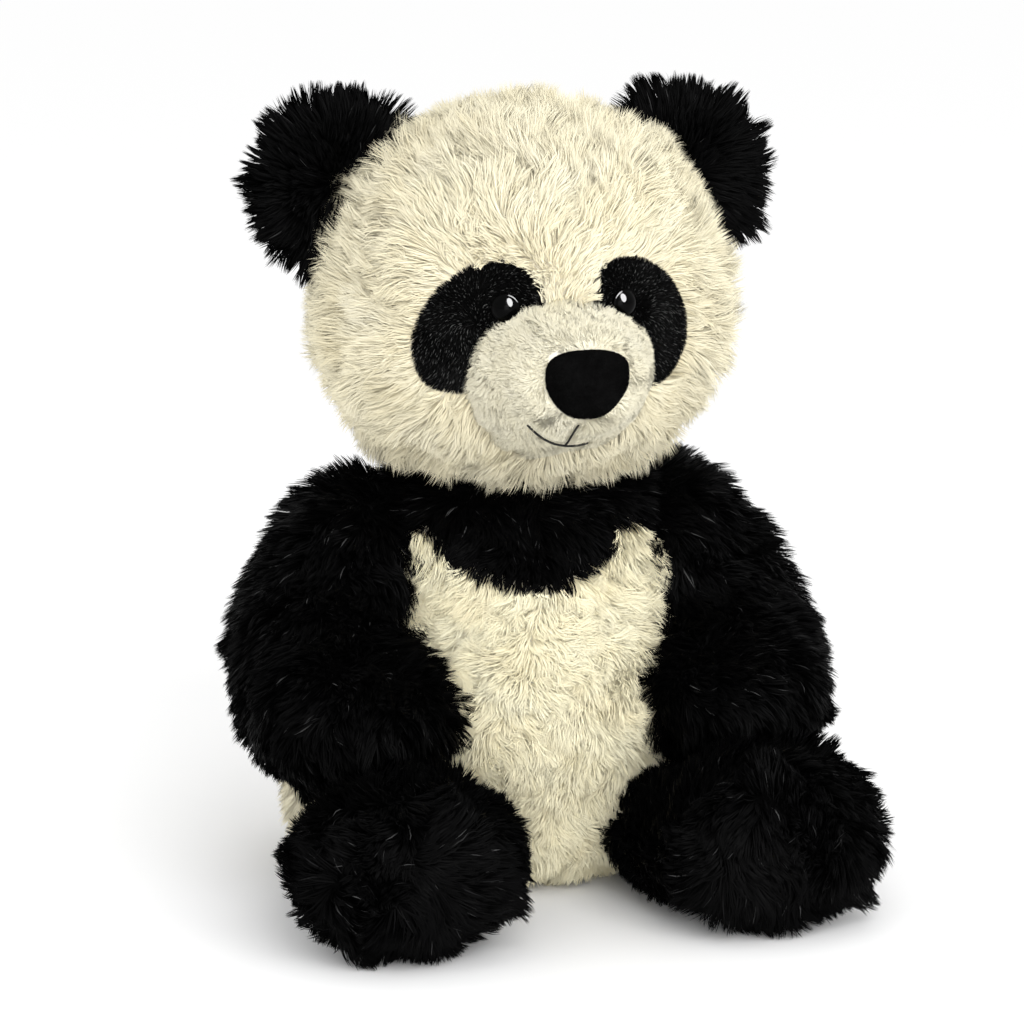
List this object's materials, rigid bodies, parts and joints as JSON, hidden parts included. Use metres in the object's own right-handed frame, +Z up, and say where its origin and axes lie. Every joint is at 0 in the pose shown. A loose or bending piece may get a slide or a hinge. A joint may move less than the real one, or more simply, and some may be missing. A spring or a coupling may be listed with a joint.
{
  "type": "plush panda",
  "caption": "Seated plush panda sewn from black and cream pile panels over stuffing, with a jointed neck, shoulders, hips and ears.",
  "frame": {"origin": "on the surface that the toy sits on, near the neck's axis, 4 mm behind it", "axes": "+Z up, the panda faces -Y, its own left side is +X"},
  "size_m": [0.2198, 0.2052, 0.2943],
  "materials": {
    "black_pile": "matte",
    "cream_pile": "matte",
    "belly_pile": "matte",
    "muzzle_pile": "matte",
    "patch_pile": "matte",
    "stuffing": "matte",
    "eye_plastic": "gloss",
    "nose_flock": "matte",
    "washer_plastic": "satin",
    "thread": "matte",
    "pale_thread": "matte",
    "satin": "satin",
    "pellet": "satin"
  },
  "bodies": {
    "torso": {"chest_yoke": "black_pile", "belly_panel": "belly_pile", "back_upper": "black_pile", "back_lower_left": "cream_pile", "back_lower_right": "cream_pile", "base_panel": "cream_pile", "body_fill": "stuffing", "pellet_bag_top": "satin", "pellet_bag_bottom": "satin", "pellets": "pellet", "closing_stitch": "pale_thread", "care_label": "satin"},
    "neck_seam": {"neck_seam_thread": "thread"},
    "neck_gather": {"neck_gather_thread": "thread"},
    "head": {"forehead_gusset": "cream_pile", "cheek_left": "cream_pile", "cheek_right": "cream_pile", "head_back": "cream_pile", "muzzle_skin": "muzzle_pile", "eye_patch_left": "patch_pile", "eye_patch_right": "patch_pile", "eye_left": "eye_plastic", "eye_right": "eye_plastic", "eye_washers": "washer_plastic", "nose": "nose_flock", "nose_washer": "washer_plastic", "mouth_stitch": "thread", "head_fill": "stuffing"},
    "ear_left": {"ear_front_left": "black_pile", "ear_back_left": "black_pile", "ear_fill_left": "stuffing"},
    "shoulder_left": {"shoulder_thread_left": "thread"},
    "arm_left": {"arm_outer_left": "black_pile", "arm_inner_left": "black_pile", "arm_fill_left": "stuffing"},
    "hip_left": {"hip_thread_left": "thread"},
    "leg_left": {"leg_top_left": "black_pile", "leg_bottom_left": "black_pile", "sole_left": "black_pile", "leg_fill_left": "stuffing"},
    "ear_right": {"ear_front_right": "black_pile", "ear_back_right": "black_pile", "ear_fill_right": "stuffing"},
    "shoulder_right": {"shoulder_thread_right": "thread"},
    "arm_right": {"arm_outer_right": "black_pile", "arm_inner_right": "black_pile", "arm_fill_right": "stuffing"},
    "hip_right": {"hip_thread_right": "thread"},
    "leg_right": {"leg_top_right": "black_pile", "leg_bottom_right": "black_pile", "sole_right": "black_pile", "leg_fill_right": "stuffing"}
  },
  "joints": [
    {"name": "neck_turn", "type": "hinge", "parent": "torso", "child": "neck_seam", "pos_m": [0, -0.004, 0.172], "axis": [0, 0, 1], "range_deg": [-30, 30], "stiffness_Nm_per_rad": 0.4},
    {"name": "neck_nod", "type": "hinge", "parent": "neck_seam", "child": "neck_gather", "pos_m": [0, -0.004, 0.172], "axis": [1, 0, 0], "range_deg": [-12, 10], "stiffness_Nm_per_rad": 1.2},
    {"name": "neck_tilt", "type": "hinge", "parent": "neck_gather", "child": "head", "pos_m": [0, -0.004, 0.172], "axis": [0, 1, 0], "range_deg": [-10, 10], "stiffness_Nm_per_rad": 1.2},
    {"name": "ear_fold_left", "type": "hinge", "parent": "head", "child": "ear_left", "pos_m": [0.05512, 0, 0.25944], "axis": [0.5299, 0, -0.848], "range_deg": [-30, 30], "stiffness_Nm_per_rad": 0.03},
    {"name": "arm_spread_left", "type": "hinge", "parent": "torso", "child": "shoulder_left", "pos_m": [0.06, -0.002, 0.124], "axis": [0, -1, 0], "range_deg": [0, 30], "stiffness_Nm_per_rad": 0.12},
    {"name": "arm_swing_left", "type": "hinge", "parent": "shoulder_left", "child": "arm_left", "pos_m": [0.06, -0.002, 0.124], "axis": [-1, 0, 0], "range_deg": [0, 48], "stiffness_Nm_per_rad": 0.12},
    {"name": "leg_spread_left", "type": "hinge", "parent": "torso", "child": "hip_left", "pos_m": [0.05, -0.03, 0.024], "axis": [0, 0, 1], "range_deg": [0, 20], "stiffness_Nm_per_rad": 0.15},
    {"name": "leg_raise_left", "type": "hinge", "parent": "hip_left", "child": "leg_left", "pos_m": [0.05, -0.03, 0.024], "axis": [-1, 0, 0], "range_deg": [0, 10], "stiffness_Nm_per_rad": 0.15},
    {"name": "ear_fold_right", "type": "hinge", "parent": "head", "child": "ear_right", "pos_m": [-0.05512, 0, 0.25944], "axis": [-0.5299, 0, -0.848], "range_deg": [-30, 30], "stiffness_Nm_per_rad": 0.03},
    {"name": "arm_spread_right", "type": "hinge", "parent": "torso", "child": "shoulder_right", "pos_m": [-0.06, -0.002, 0.124], "axis": [0, 1, 0], "range_deg": [0, 30], "stiffness_Nm_per_rad": 0.12},
    {"name": "arm_swing_right", "type": "hinge", "parent": "shoulder_right", "child": "arm_right", "pos_m": [-0.06, -0.002, 0.124], "axis": [-1, 0, 0], "range_deg": [0, 48], "stiffness_Nm_per_rad": 0.12},
    {"name": "leg_spread_right", "type": "hinge", "parent": "torso", "child": "hip_right", "pos_m": [-0.05, -0.03, 0.024], "axis": [0, 0, -1], "range_deg": [0, 20], "stiffness_Nm_per_rad": 0.15},
    {"name": "leg_raise_right", "type": "hinge", "parent": "hip_right", "child": "leg_right", "pos_m": [-0.05, -0.03, 0.024], "axis": [-1, 0, 0], "range_deg": [0, 10], "stiffness_Nm_per_rad": 0.15}
  ]
}
